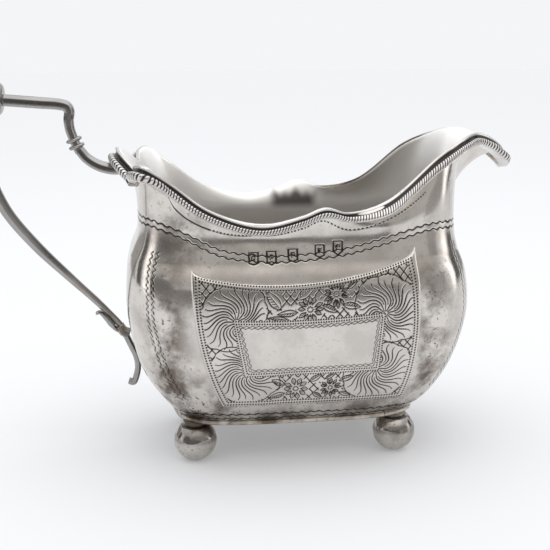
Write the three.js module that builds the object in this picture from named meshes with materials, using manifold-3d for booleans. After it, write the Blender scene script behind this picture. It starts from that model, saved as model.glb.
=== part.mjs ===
// A silver cream jug: an oblong raised body on four ball feet, with a gadrooned rim border,
// a pouring lip and a high-shouldered handle. Units are millimetres, +Z is up, +X is the
// pouring side and the handle stands on the -X side. The jug is mirrored across the XZ plane.

import * as THREE from "three";
import { mergeVertices } from "three/addons/utils/BufferGeometryUtils.js";
import Module from "manifold-3d";

const wasm = await Module();
wasm.setup();

// ---------------------------------------------------------------- driving dimensions

const GAP = 0.3; // between soldered pieces
const WALL = 1.0; // sheet thickness of the body
const SQUARENESS = 4.2; // superellipse exponent of every horizontal section
const AROUND = 76; // points round a horizontal section

// Feet. Their centres are the corners of a rectangle centred on X = 0.
const FOOT_X = 30.5;
const FOOT_Y = 15.4;
const FOOT_RADIUS = 6.4;
const FOOT_FLAT_RADIUS = 1.8; // worn flat that rests on the table
const FOOT_TOP = 10.9; // the ball is cut level here
const COLLAR_RADIUS = 3.5;
const COLLAR_TOP = 12.1;

// Base plate, a little wider than the foot of the wall.
const BASE_BOTTOM = COLLAR_TOP + GAP;
const BASE_THICKNESS = 1.0;
const BASE_FLANGE = 0.5;

// Body outline: half sizes against height, from the foot of the wall to the neck.
const WALL_BOTTOM = BASE_BOTTOM + BASE_THICKNESS + GAP;
const NECK_HEIGHT = 69;
const HEIGHTS = [WALL_BOTTOM, 19, 30, 44, 56, 63.5, NECK_HEIGHT];
const HANDLE_SIDE = [35.2, 40.1, 46.4, 49.3, 49.3, 47.9, 45.2];
const SPOUT_SIDE = [36.8, 42.4, 48.8, 52.5, 51.7, 49.2, 47.9];
const HALF_WIDTH = [21.8, 25.4, 30.0, 32.0, 31.2, 28.8, 27.2];

// Rim: the top outer edge of the wall, as half of a curve from the handle end to the lip.
const BACK_PEAK = new THREE.Vector3(-51.1, 0, 92.5);
const NOTCH = new THREE.Vector3(-45.7, 12.5, 87.5);
const LIP_TIP = new THREE.Vector3(66.4, 0, 89.4);
const RIM_SIDE = [
  NOTCH,
  new THREE.Vector3(-45.4, 22, 89.6), // corner lobe
  new THREE.Vector3(-42.6, 27.9, 89.8),
  new THREE.Vector3(-35.8, 26.2, 85.2), // waist
  new THREE.Vector3(-25.3, 27.8, 77.6),
  new THREE.Vector3(-11.5, 29.7, 73.3), // deep dip
  new THREE.Vector3(0.5, 29.5, 75.5),
  new THREE.Vector3(6.5, 29.9, 77.7), // small peak
  new THREE.Vector3(14, 27.2, 76),
  new THREE.Vector3(25.4, 23.9, 78.5),
  new THREE.Vector3(40.4, 21.2, 90.2), // rise to the spout
  new THREE.Vector3(49.6, 15.3, 94.6),
  new THREE.Vector3(55, 9.8, 95.7),
  new THREE.Vector3(61, 6.2, 93.8),
  new THREE.Vector3(65.2, 3, 90.9),
  LIP_TIP,
];
const BACK_SPACES = 10; // spaces along the back arch; the rest of AROUND goes to the two sides
const SIDE_SPACES = (AROUND - BACK_SPACES) / 2;

// The wall between neck and rim. The two guides of its curve are given as shares of the rise,
// and the upper one also as a share of the way out, at the sides and at the lip.
const LOWER_GUIDE_RISE = 0.45;
const SIDE_GUIDE = { out: 0.06, rise: 0.78 };
const LIP_GUIDE = { out: 0.49, rise: 1.05 };
const LIP_FROM_X = 44; // the side guide turns into the lip guide between these two places
const LIP_UNTIL_X = 62;

// Rim border section: outwards from the wall and up from the rim, closed. It leans with the
// wall behind it, but no further inwards than the limit.
const BORDER_HEIGHT = 3.4;
const BORDER_GAP = 0.55; // between border and wall, wide enough where the rim curves inwards
const BORDER_LEAN_LIMIT = 0.6;
const BORDER_SECTION = [
  [BORDER_GAP, -0.1],
  [1.2, -0.3],
  [1.6, -0.5],
  [2.6, -1.1],
  [3.3, -2.0],
  [3.3, -2.8],
  [2.5, -3.2],
  [BORDER_GAP, -BORDER_HEIGHT],
];

// Raised panels on the two long sides: corners as X and height, clockwise from the top left.
const PANEL_CORNERS = [
  [-30.8, 60.2],
  [32.4, 63.2],
  [30.9, 19.9],
  [-23.2, 19.6],
];
const PANEL_TOP_DIP = 5; // how far the middle of the top edge hangs below its ends
const PANEL_SIDE_BOW = 2.2; // how far the end edges bulge
const PANEL_RELIEF = 0.6;

// Handle straps. Each path is in the XZ plane, as X and height along the middle of the strap;
// thickness and width are given at the start and at the end of the path.
const CHAMFER = 0.3; // share of each half side taken by a chamfer
const STRAPS = {
  handle_root: {
    path: [[-48.6, 86.6], [-52.5, 86.5], [-56.3, 87.5], [-59.6, 89.6], [-61.8, 92.3]],
    thickness: [3.4, 2.9],
    width: [6.2, 3.6],
    steps: 8,
  },
  handle_riser: {
    path: [[-63.5, 96.2], [-64, 99.4], [-64, 102.9]],
    thickness: [2.8, 2.8],
    width: [3.8, 3.8],
    steps: 4,
  },
  handle_top_bar: {
    path: [[-62.1, 104.9], [-72, 105.9], [-82, 106.8]],
    thickness: [3.3, 3.3],
    width: [4.8, 4.8],
    steps: 4,
  },
  handle_sweep: {
    path: [
      [-87.6, 107.3],
      [-90, 106.1],
      [-91, 102.6],
      [-90.6, 95],
      [-88.2, 85.4],
      [-83.8, 74.6],
      [-76.2, 64.3],
      [-66.5, 53.9],
      [-58.2, 45.4],
      [-52.9, 39.3],
    ],
    thickness: [3.3, 3.1],
    width: [4.8, 4],
    steps: 24,
  },
  handle_leaf: {
    path: [[-60.2, 42.2], [-58.3, 41.6], [-55.9, 38.7], [-54.2, 36.5]],
    thickness: [1.1, 1.1],
    width: [3.6, 3.6],
    steps: 6,
  },
  handle_tail: {
    path: [
      [-50.1, 34],
      [-48.9, 31.2],
      [-47.7, 28.2],
      [-47.3, 25.2],
      [-47.8, 22.2],
      [-48.9, 19.8],
      [-50.3, 20.2],
    ],
    thickness: [1.9, 1.9],
    width: [3.4, 2.4],
    steps: 14,
  },
};
// Solder block between the sweep and the body.
const PAD = {
  path: [[-52.2, 37.9], [-51.3, 36.4], [-50, 35.7]],
  thickness: [3, 3.4],
  width: [4, 4],
  steps: 4,
};
// Turned discs on the handle: two thin rings on the riser and a flat bead on the bar.
const RINGS = { radius: 2.6, thickness: 1.2, lower: [-62.4, 93.2], upper: [-63.1, 95.1] };
const BEAD = { radius: 4.9, thickness: 4.3, centre: [-84.5, 107.2] };

// ---------------------------------------------------------------- materials

const SILVER = { color: 0xc8c4be, roughness: 0.3, metalness: 1 };
const TARNISHED = { color: 0x9a948c, roughness: 0.42, metalness: 1 };
const BRIGHT = { color: 0xdad8d4, roughness: 0.24, metalness: 1 };

// ---------------------------------------------------------------- solids from rings

function ringsToGeometry(rings, closed) {
  const count = rings[0].length;
  const positions = rings.flat().flatMap((point) => [point.x, point.y, point.z]);
  const index = [];
  const spans = closed ? rings.length : rings.length - 1;
  for (let ring = 0; ring < spans; ring++) {
    const next = (ring + 1) % rings.length;
    for (let i = 0; i < count; i++) {
      const j = (i + 1) % count;
      const a = ring * count + i;
      const b = ring * count + j;
      const c = next * count + i;
      const d = next * count + j;
      index.push(a, b, d, a, d, c);
    }
  }
  if (!closed) {
    for (const [ring, turned] of [[0, false], [rings.length - 1, true]]) {
      const middle = new THREE.Vector3();
      rings[ring].forEach((point) => middle.addScaledVector(point, 1 / count));
      const centre = positions.length / 3;
      positions.push(middle.x, middle.y, middle.z);
      for (let i = 0; i < count; i++) {
        const a = ring * count + i;
        const b = ring * count + ((i + 1) % count);
        index.push(...(turned ? [a, b, centre] : [b, a, centre]));
      }
    }
  }
  const geometry = new THREE.BufferGeometry();
  geometry.setAttribute("position", new THREE.Float32BufferAttribute(positions, 3));
  geometry.setIndex(index);
  return faceOut(geometry);
}

// Turns every face round when the enclosed volume comes out negative.
function faceOut(geometry) {
  const position = geometry.getAttribute("position");
  const index = geometry.getIndex();
  const corner = [new THREE.Vector3(), new THREE.Vector3(), new THREE.Vector3()];
  let volume = 0;
  for (let i = 0; i < index.count; i += 3) {
    corner.forEach((point, k) => point.fromBufferAttribute(position, index.getX(i + k)));
    volume += corner[0].dot(corner[1].clone().cross(corner[2])) / 6;
  }
  if (volume < 0) {
    for (let i = 0; i < index.count; i += 3) {
      const first = index.getX(i);
      index.setX(i, index.getX(i + 1));
      index.setX(i + 1, first);
    }
  }
  return geometry;
}

function toSolid(geometry) {
  const bare = geometry.clone();
  bare.deleteAttribute("normal");
  bare.deleteAttribute("uv");
  const merged = mergeVertices(bare, 1e-4);
  return new wasm.Manifold(
    new wasm.Mesh({
      numProp: 3,
      vertProperties: new Float32Array(merged.getAttribute("position").array),
      triVerts: new Uint32Array(merged.getIndex().array),
    }),
  );
}

function toGeometry(solid) {
  const mesh = solid.getMesh();
  const geometry = new THREE.BufferGeometry();
  geometry.setAttribute("position", new THREE.BufferAttribute(mesh.vertProperties, 3));
  geometry.setIndex(new THREE.BufferAttribute(mesh.triVerts, 1));
  return geometry;
}

// ---------------------------------------------------------------- body surface

const profileOf = (sizes) =>
  new THREE.SplineCurve(sizes.map((size, k) => new THREE.Vector2(size, HEIGHTS[k])));
const handleProfile = profileOf(HANDLE_SIDE);
const spoutProfile = profileOf(SPOUT_SIDE);
const widthProfile = profileOf(HALF_WIDTH);

// A point of the horizontal section at share 0 (foot) to 1 (neck), grown outwards by grow.
function sectionPoint(angle, share, grow = 0) {
  const cos = Math.cos(angle);
  const sin = Math.sin(angle);
  const power = 2 / SQUARENESS;
  const half = cos < 0 ? handleProfile.getPoint(share) : spoutProfile.getPoint(share);
  const width = widthProfile.getPoint(share).x;
  return new THREE.Vector3(
    Math.sign(cos) * Math.abs(cos) ** power * (half.x + grow),
    Math.sign(sin) * Math.abs(sin) ** power * (width + grow),
    half.y,
  );
}

// The section angle at which a scaled copy of the neck passes through a point.
function sectionAngle(point) {
  const power = SQUARENESS / 2;
  const half = point.x < 0 ? HANDLE_SIDE.at(-1) : SPOUT_SIDE.at(-1);
  const x = Math.sign(point.x) * Math.abs(point.x / half) ** power;
  const y = Math.sign(point.y) * Math.abs(point.y / HALF_WIDTH.at(-1)) ** power;
  return Math.atan2(y, x);
}

const mirrorY = (point) => new THREE.Vector3(point.x, -point.y, point.z);

// The rim in three stretches that meet in a crease at each notch.
function backArch(share) {
  const across = 2 * share - 1;
  return new THREE.Vector3(
    THREE.MathUtils.lerp(BACK_PEAK.x, NOTCH.x, across ** 2),
    -NOTCH.y * across,
    THREE.MathUtils.lerp(BACK_PEAK.z, NOTCH.z, across ** 2),
  );
}

// Evenly spaced points from the notch to the lip tip. The curve is made over both sides, so
// that it crosses the tip square to the XZ plane.
function smoothSide() {
  const otherSide = RIM_SIDE.slice(0, -1).reverse().map(mirrorY);
  const whole = new THREE.CatmullRomCurve3([...RIM_SIDE, ...otherSide], false, "centripetal");
  return whole.getSpacedPoints(2 * SIDE_SPACES).slice(0, SIDE_SPACES + 1);
}

const sideRim = smoothSide(); // +Y side, notch to lip tip
const backRim = Array.from({ length: BACK_SPACES + 1 }, (_, k) => backArch(k / BACK_SPACES));
// Once round from the +Y notch over the lip, along the -Y side and back across the handle end.
const rimLoop = [
  ...sideRim,
  ...sideRim.slice(0, -1).reverse().map(mirrorY),
  ...backRim.slice(1, -1).reverse(),
];
const rimAngles = rimLoop.map(sectionAngle);

const BELLY_LEVELS = 10;
const FLARE_LEVELS = 6;

// The wall above the neck: each upright line is a Bezier that leaves the neck straight up
// and flares out to the rim. Towards the lip it rolls over the crest instead.
function flarePoint(rim, share) {
  const neck = sectionPoint(sectionAngle(rim), 1);
  const rise = rim.z - neck.z;
  const lipness = THREE.MathUtils.smoothstep(rim.x, LIP_FROM_X, LIP_UNTIL_X);
  const first = neck.clone().setZ(neck.z + rise * LOWER_GUIDE_RISE);
  const second = neck.clone().lerp(rim, THREE.MathUtils.lerp(SIDE_GUIDE.out, LIP_GUIDE.out, lipness));
  second.z = neck.z + rise * THREE.MathUtils.lerp(SIDE_GUIDE.rise, LIP_GUIDE.rise, lipness);
  return new THREE.CubicBezierCurve3(neck, first, second, rim).getPoint(share);
}

function outerRings() {
  const rings = [];
  for (let level = 0; level < BELLY_LEVELS; level++) {
    rings.push(rimAngles.map((angle) => sectionPoint(angle, level / BELLY_LEVELS)));
  }
  for (let level = 0; level <= FLARE_LEVELS; level++) {
    rings.push(rimLoop.map((rim) => flarePoint(rim, level / FLARE_LEVELS)));
  }
  return rings;
}

// The inner face: every point moved in by the sheet thickness, square to the outer face.
function innerRings(outer) {
  return outer.map((ring, level) =>
    ring.map((point, i) => {
      const along = ring[(i + 1) % ring.length].clone();
      along.sub(ring[(i + ring.length - 1) % ring.length]);
      const above = outer[Math.min(level + 1, outer.length - 1)][i].clone();
      above.sub(outer[Math.max(level - 1, 0)][i]);
      const inward = along.cross(above).setLength(WALL);
      const inner = point.clone().add(inward);
      if (level === 0) inner.z = point.z;
      return inner;
    }),
  );
}

function bellySolid(grow) {
  const rings = [];
  for (let level = 0; level <= BELLY_LEVELS; level++) {
    rings.push(rimAngles.map((angle) => sectionPoint(angle, level / BELLY_LEVELS, grow)));
  }
  return toSolid(ringsToGeometry(rings, false));
}

// A raised panel: the belly grown by the relief, kept inside the panel's outline.
function panelSolid(side) {
  const [topLeft, topRight, bottomRight, bottomLeft] = PANEL_CORNERS;
  const middle = (a, b) => [(a[0] + b[0]) / 2, (a[1] + b[1]) / 2];
  const top = middle(topLeft, topRight);
  const right = middle(topRight, bottomRight);
  const left = middle(topLeft, bottomLeft);
  const outline = new THREE.Shape();
  outline.moveTo(...bottomLeft);
  outline.lineTo(...bottomRight);
  outline.quadraticCurveTo(right[0] + 2 * PANEL_SIDE_BOW, right[1], ...topRight);
  outline.quadraticCurveTo(top[0], top[1] - 2 * PANEL_TOP_DIP, ...topLeft);
  outline.quadraticCurveTo(left[0] - 2 * PANEL_SIDE_BOW, left[1], ...bottomLeft);
  const depth = 30; // from 10 mm off the middle plane to well outside the wall
  const nearest = 10;
  const slab = new THREE.ExtrudeGeometry(outline, { depth, curveSegments: 8, bevelEnabled: false });
  slab.rotateX(Math.PI / 2);
  slab.translate(0, side > 0 ? nearest + depth : -nearest, 0);
  return toSolid(slab).intersect(bellySolid(PANEL_RELIEF)).subtract(bellySolid(-WALL / 2));
}

function bodyWall() {
  const outer = outerRings();
  const inner = innerRings(outer).reverse();
  const shell = toSolid(ringsToGeometry([...outer, ...inner], true));
  return toGeometry(shell.add(panelSolid(1)).add(panelSolid(-1)));
}

function basePlate() {
  const corners = rimAngles.map((angle) => {
    const point = sectionPoint(angle, 0, BASE_FLANGE);
    return new THREE.Vector2(point.x, point.y);
  });
  const geometry = new THREE.ExtrudeGeometry(new THREE.Shape(corners), {
    depth: BASE_THICKNESS,
    bevelEnabled: false,
  });
  return geometry.translate(0, 0, BASE_BOTTOM);
}

// ---------------------------------------------------------------- rim border

// Unit vector square to the rim, level and pointing out of the jug.
function outwardAt(points, i) {
  const before = points[Math.max(i - 1, 0)];
  const after = points[Math.min(i + 1, points.length - 1)];
  return new THREE.Vector3(after.y - before.y, before.x - after.x, 0).normalize();
}

// How far the wall stands out beyond the rim at the height of the border's lower edge.
function wallLean(rim, outward) {
  const steps = 40;
  let step = steps;
  while (step > 0 && flarePoint(rim, step / steps).z > rim.z - BORDER_HEIGHT) step--;
  const lean = flarePoint(rim, step / steps).sub(rim).dot(outward);
  return Math.max(lean, -BORDER_LEAN_LIMIT);
}

// One length of border along rim points, mitred to given directions at its two ends.
function borderPiece(points, startOut, endOut, turn) {
  const rings = points.map((point, i) => {
    const outward = outwardAt(points, i).multiplyScalar(turn);
    const lean = wallLean(point, outward);
    if (i === 0) outward.copy(startOut);
    if (i === points.length - 1) outward.copy(endOut);
    return BORDER_SECTION.map(([out, up]) =>
      point
        .clone()
        .addScaledVector(outward, out - (lean * up) / BORDER_HEIGHT)
        .add(new THREE.Vector3(0, 0, up)),
    );
  });
  return ringsToGeometry(rings, false);
}

// The direction between the two stretches that meet at the +Y notch, lengthened for the mitre.
function notchMitre() {
  const sideOut = outwardAt(sideRim, 0).negate();
  const backOut = outwardAt(backRim, 0);
  const between = sideOut.clone().add(backOut).normalize();
  return between.divideScalar(between.dot(sideOut));
}

// A copy of the points with both ends drawn back by the gap.
function trimmed(points) {
  const cut = points.map((point) => point.clone());
  const drawBack = (end, next) => end.add(next.clone().sub(end).setLength(GAP));
  drawBack(cut[0], cut[1]);
  drawBack(cut.at(-1), cut.at(-2));
  return cut;
}

function sideBorder(side) {
  const mitre = notchMitre();
  const geometry = borderPiece(trimmed(sideRim), mitre, new THREE.Vector3(1, 0, 0), -1);
  return side > 0 ? geometry : faceOut(geometry.scale(1, -1, 1));
}

function backBorder() {
  const mitre = notchMitre();
  return borderPiece(trimmed(backRim), mitre, mirrorY(mitre), 1);
}

// ---------------------------------------------------------------- feet

function turned(profile, segments) {
  const points = profile.map(([radius, height]) => new THREE.Vector2(radius, height));
  return new THREE.LatheGeometry(points, segments).rotateX(Math.PI / 2);
}

function footBall() {
  const centre = Math.sqrt(FOOT_RADIUS ** 2 - FOOT_FLAT_RADIUS ** 2);
  const start = Math.atan2(-centre, FOOT_FLAT_RADIUS);
  const end = Math.asin((FOOT_TOP - centre) / FOOT_RADIUS);
  const steps = 8;
  const arc = Array.from({ length: steps + 1 }, (_, k) => {
    const angle = start + ((end - start) * k) / steps;
    return [FOOT_RADIUS * Math.cos(angle), k === 0 ? 0 : centre + FOOT_RADIUS * Math.sin(angle)];
  });
  return turned([[0, 0], ...arc, [0, FOOT_TOP]], 20);
}

function footCollar() {
  const bottom = FOOT_TOP + GAP;
  const waist = COLLAR_RADIUS - 0.4;
  return turned(
    [
      [0, bottom],
      [COLLAR_RADIUS, bottom],
      [waist, (bottom + COLLAR_TOP) / 2],
      [COLLAR_RADIUS, COLLAR_TOP],
      [0, COLLAR_TOP],
    ],
    16,
  );
}

// ---------------------------------------------------------------- handle

// A chamfered strap swept along its path in the XZ plane.
function strap({ path, thickness, width, steps }) {
  const curve = new THREE.SplineCurve(path.map(([x, z]) => new THREE.Vector2(x, z)));
  const corner = 1 - 2 * CHAMFER;
  const rings = [];
  for (let k = 0; k <= steps; k++) {
    const share = k / steps;
    const point = curve.getPointAt(share);
    const tangent = curve.getTangentAt(share);
    const thick = THREE.MathUtils.lerp(...thickness, share) / 2;
    const wide = THREE.MathUtils.lerp(...width, share) / 2;
    const section = [
      [1, corner],
      [corner, 1],
      [-corner, 1],
      [-1, corner],
      [-1, -corner],
      [-corner, -1],
      [corner, -1],
      [1, -corner],
    ];
    rings.push(
      section.map(
        ([across, up]) =>
          new THREE.Vector3(
            point.x - tangent.y * up * thick,
            across * wide,
            point.y + tangent.x * up * thick,
          ),
      ),
    );
  }
  return ringsToGeometry(rings, false);
}

// A turned disc with a rounded rim, its axis along the line between two points of the XZ plane.
function disc(radius, thickness, centre, [from, to], segments) {
  const half = thickness / 2;
  const steps = 6;
  const rim = Array.from({ length: steps + 1 }, (_, k) => {
    const angle = -Math.PI / 2 + (Math.PI * k) / steps;
    return [radius - half * (1 - Math.cos(angle)), half * Math.sin(angle)];
  });
  const geometry = turned([[0, -half], ...rim, [0, half]], segments);
  const axis = new THREE.Vector3(to[0] - from[0], 0, to[1] - from[1]).normalize();
  const turn = new THREE.Quaternion().setFromUnitVectors(new THREE.Vector3(0, 0, 1), axis);
  return geometry.applyQuaternion(turn).translate(centre[0], 0, centre[1]);
}

// ---------------------------------------------------------------- assembly

const jug = new THREE.Group();

function addPiece(name, geometry, finish, parent = jug) {
  const mesh = new THREE.Mesh(geometry, new THREE.MeshStandardMaterial(finish));
  mesh.name = name;
  parent.add(mesh);
  return mesh;
}

addPiece("body_wall", bodyWall(), SILVER);
addPiece("base_plate", basePlate(), TARNISHED);
addPiece("rim_border_left", sideBorder(1), BRIGHT);
addPiece("rim_border_right", sideBorder(-1), BRIGHT);
addPiece("rim_border_back", backBorder(), BRIGHT);

for (const [end, x] of [["front", FOOT_X], ["back", -FOOT_X]]) {
  for (const [side, y] of [["left", FOOT_Y], ["right", -FOOT_Y]]) {
    const foot = new THREE.Group();
    foot.position.set(x, y, 0);
    jug.add(foot);
    addPiece(`foot_ball_${end}_${side}`, footBall(), TARNISHED, foot);
    addPiece(`foot_collar_${end}_${side}`, footCollar(), TARNISHED, foot);
  }
}

for (const [name, shape] of Object.entries(STRAPS)) {
  addPiece(name, strap(shape), SILVER);
}
addPiece("handle_pad", strap(PAD), TARNISHED);
for (const name of ["lower", "upper"]) {
  const geometry = disc(RINGS.radius, RINGS.thickness, RINGS[name], [RINGS.lower, RINGS.upper], 20);
  addPiece(`handle_ring_${name}`, geometry, BRIGHT);
}
const bar = STRAPS.handle_top_bar.path;
const bead = disc(BEAD.radius, BEAD.thickness, BEAD.centre, [bar[0], bar.at(-1)], 28);
addPiece("handle_bead", bead, SILVER);

// The origin goes under the middle of the whole jug, on the plane that the feet rest on.
const bounds = new THREE.Box3().setFromObject(jug);
jug.position.set(-(bounds.min.x + bounds.max.x) / 2, 0, 0);

const creamJug = new THREE.Group();
creamJug.add(jug);

export default creamJug;
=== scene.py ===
"""A silver cream jug: the fine surfaces, engraving, gadroons and finish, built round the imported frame.

Shapes are worked out in millimetres from the middle of the four feet: +X towards the lip, +Z up.
placed() turns them into metres in the frame. Surfaces are grids of points, row by row.
"""

import math

import bpy
import numpy as np
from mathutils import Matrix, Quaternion, Vector


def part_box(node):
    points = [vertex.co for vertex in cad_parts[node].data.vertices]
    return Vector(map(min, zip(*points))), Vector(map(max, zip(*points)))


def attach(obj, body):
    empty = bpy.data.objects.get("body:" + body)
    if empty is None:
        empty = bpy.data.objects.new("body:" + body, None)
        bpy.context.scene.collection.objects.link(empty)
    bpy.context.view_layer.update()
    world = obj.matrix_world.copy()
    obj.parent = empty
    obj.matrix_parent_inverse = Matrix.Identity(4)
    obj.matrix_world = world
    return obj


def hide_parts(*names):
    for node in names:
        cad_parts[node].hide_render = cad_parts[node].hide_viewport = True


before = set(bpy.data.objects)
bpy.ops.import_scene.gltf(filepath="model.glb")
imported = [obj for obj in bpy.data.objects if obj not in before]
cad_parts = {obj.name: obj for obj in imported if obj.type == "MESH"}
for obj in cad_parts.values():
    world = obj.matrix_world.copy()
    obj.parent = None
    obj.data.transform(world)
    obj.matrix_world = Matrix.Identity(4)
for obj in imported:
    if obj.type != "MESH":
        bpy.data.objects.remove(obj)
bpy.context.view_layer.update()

MM = 0.001
FOOT_PLACES = [f"{end}_{side}" for end in ("front", "back") for side in ("left", "right")]
FOOT_NODES = [f"foot_ball_{place}" for place in FOOT_PLACES]
FEET_X = sum((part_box(node)[0].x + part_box(node)[1].x) / 2 for node in FOOT_NODES) / len(FOOT_NODES) / MM
Y_AXIS = np.array((0, 1.0, 0))
Z_AXIS = np.array((0, 0, 1.0))
rng = np.random.default_rng(7)

# ---- driving dimensions, mm

SQUARENESS = 4.2
HEIGHTS = [13.7, 19, 30, 44, 56, 63.5, 69]
HANDLE_SIDE = [35.2, 40.1, 46.4, 49.3, 49.3, 47.9, 45.2]
SPOUT_SIDE = [36.8, 42.4, 48.8, 52.5, 51.7, 49.2, 47.9]
HALF_WIDTH = [21.8, 25.4, 30.0, 32.0, 31.2, 28.7, 27.5]
WALL = 0.8
BACK_PEAK = (-51.1, 0, 92.5)
NOTCH = (-45.7, 12.5, 87.5)
RIM_SIDE = [
    NOTCH, (-45.4, 22, 89.6), (-42.6, 27.9, 89.8), (-35.8, 26.2, 85.2), (-25.3, 27.8, 77.6),
    (-11.5, 29.7, 73.3), (0.5, 29.5, 75.5), (6.5, 29.9, 77.7), (14, 27.2, 76), (25.4, 23.9, 78.5),
    (40.4, 21.2, 90.2), (49.6, 15.3, 94.6), (55, 9.8, 95.7), (61, 6.2, 93.8), (65.2, 3, 90.9),
    (66.4, 0, 89.4),
]
LOWER_GUIDE_RISE = 0.45
SIDE_GUIDE = (0.06, 0.78)
LIP_GUIDE = (0.49, 1.05)
LIP_FROM_X, LIP_UNTIL_X = 44, 62

COLUMN_PITCH = 0.3  # spacing of the body's grid round the jug
BELLY_ROWS = 110  # up to the fine rows below the neck
SHOULDER_SHARE = 0.78  # the fine rows start here
SHOULDER_ROWS = 45
FLARE_ROWS = 100
INNER_SKIP = 5  # the inner face takes every fifth row

DENT_HEIGHT = 0.022
DENT_WAVES = [(0.9 * k, length, 1.7 * k) for k, length in enumerate((7, 9, 11, 14, 18, 23, 8, 12))]

# ---- small tools


def placed(points):
    """Points in metres in the frame."""
    return (np.asarray(points, float) + (FEET_X, 0, 0)) * MM


def smoothstep(value, low, high):
    share = np.clip((value - low) / (high - low), 0, 1)
    return share * share * (3 - 2 * share)


def lerp(a, b, share):
    return a + (b - a) * share


def grid_quads(rows, columns, closed_rows=False, closed_columns=False):
    """Faces of a grid whose points are numbered row by row."""
    r = np.arange(rows if closed_rows else rows - 1)
    c = np.arange(columns if closed_columns else columns - 1)
    a = (r[:, None] * columns + c).ravel()
    b = (r[:, None] * columns + (c + 1) % columns).ravel()
    above = (r + 1) % rows
    d = (above[:, None] * columns + c).ravel()
    e = (above[:, None] * columns + (c + 1) % columns).ravel()
    return np.stack([a, b, e, d], axis=1)


def add_object(name, data):
    made = bpy.data.objects.new(name, data)
    bpy.context.scene.collection.objects.link(made)
    return made


def make_piece(name, points, faces, material, nodes, marks=0.0, tarnish=0.0):
    """A mesh piece that rides on the jug and stands for CAD nodes. faces is a list of arrays.

    marks and tarnish are one number, or one for each point from the first: any further points get 0.
    """
    mesh = bpy.data.meshes.new(name)
    points = placed(points).reshape(-1, 3)
    loops = np.concatenate([part.ravel() for part in faces])
    sizes = np.concatenate([np.full(len(part), part.shape[1]) for part in faces])
    mesh.vertices.add(len(points))
    mesh.vertices.foreach_set("co", points.ravel())
    mesh.loops.add(len(loops))
    mesh.loops.foreach_set("vertex_index", loops.astype(np.int32))
    mesh.polygons.add(len(sizes))
    mesh.polygons.foreach_set("loop_start", (np.cumsum(sizes) - sizes).astype(np.int32))
    mesh.update(calc_edges=True)
    mesh.validate()
    mesh.polygons.foreach_set("use_smooth", np.ones(len(mesh.polygons), bool))
    for attribute, values in (("mark", marks), ("tarnish", tarnish)):
        values = np.ravel(values)
        filled = np.full(len(points), values[0] if len(values) == 1 else 0.0, np.float32)
        filled[: len(values)] = values
        mesh.attributes.new(attribute, "FLOAT", "POINT").data.foreach_set("value", filled)
    mesh.materials.append(material)
    piece = add_object(name, mesh)
    outward(piece)
    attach(piece, "root")
    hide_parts(*nodes)
    return piece


def outward(piece):
    """Turns the faces round when the enclosed volume comes out negative."""
    mesh = piece.data
    mesh.calc_loop_triangles()
    corners = np.zeros(len(mesh.loop_triangles) * 3, np.int32)
    mesh.loop_triangles.foreach_get("vertices", corners)
    points = np.zeros(len(mesh.vertices) * 3)
    mesh.vertices.foreach_get("co", points)
    a, b, c = points.reshape(-1, 3)[corners.reshape(-1, 3)].transpose(1, 0, 2)
    if np.einsum("ij,ij->", a, np.cross(b, c)) < 0:
        mesh.flip_normals()


def grid_normals(grid, closed_columns=False):
    """Unit normals of a grid of points, along row direction x column direction."""
    if closed_columns:
        across = np.roll(grid, -1, axis=1) - np.roll(grid, 1, axis=1)
    else:
        across = np.gradient(grid, axis=1)
    up = np.gradient(grid, axis=0)
    normal = np.cross(across, up)
    return normal / np.maximum(np.linalg.norm(normal, axis=-1, keepdims=True), 1e-9)


def through(points, steps=40):
    """A centripetal Catmull-Rom curve through points, as a dense row of points."""
    points = np.asarray(points, float)
    ends = [2 * points[0] - points[1], *points, 2 * points[-1] - points[-2]]
    t = np.linspace(0, 1, steps, endpoint=False)[:, None]
    rows = []
    for p0, p1, p2, p3 in zip(ends, ends[1:], ends[2:], ends[3:]):
        t0, t1, t2 = (np.linalg.norm(b - a) ** 0.5 for a, b in ((p0, p1), (p1, p2), (p2, p3)))
        m1 = ((p1 - p0) / t0 - (p2 - p0) / (t0 + t1) + (p2 - p1) / t1) * t1
        m2 = ((p2 - p1) / t1 - (p3 - p1) / (t1 + t2) + (p3 - p2) / t2) * t1
        rows.append(
            p1 * (2 * t**3 - 3 * t**2 + 1)
            + m1 * (t**3 - 2 * t**2 + t)
            + p2 * (3 * t**2 - 2 * t**3)
            + m2 * (t**3 - t**2)
        )
    return np.vstack([*rows, points[-1:]])


def lengths(curve):
    """Length along a row of points, from its start."""
    steps = np.linalg.norm(np.diff(curve, axis=0), axis=1)
    return np.concatenate([[0], np.cumsum(steps)])


def at_lengths(curve, measure, wanted):
    """Points of a curve where its measure has the wanted values."""
    return np.stack([np.interp(wanted, measure, curve[:, k]) for k in range(curve.shape[1])], axis=1)


def spaced(curve, count):
    """Evenly spaced points along a row of points."""
    measure = lengths(curve)
    return at_lengths(curve, measure, np.linspace(0, measure[-1], count))


def dents(points):
    """Soft unevenness of hand-raised metal, in mm, at each point."""
    height = np.zeros(points.shape[:-1])
    for turn, length, shift in DENT_WAVES:
        reach = 2 * np.pi / length
        direction = np.array((math.cos(turn), math.cos(turn), 0.45 * math.sin(turn))) * reach
        height += DENT_HEIGHT * length / 10 * np.sin(points @ direction + shift)
    return height


def mirror_y(points):
    return np.asarray(points, float) * (1, -1, 1)


# ---- body surface


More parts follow.
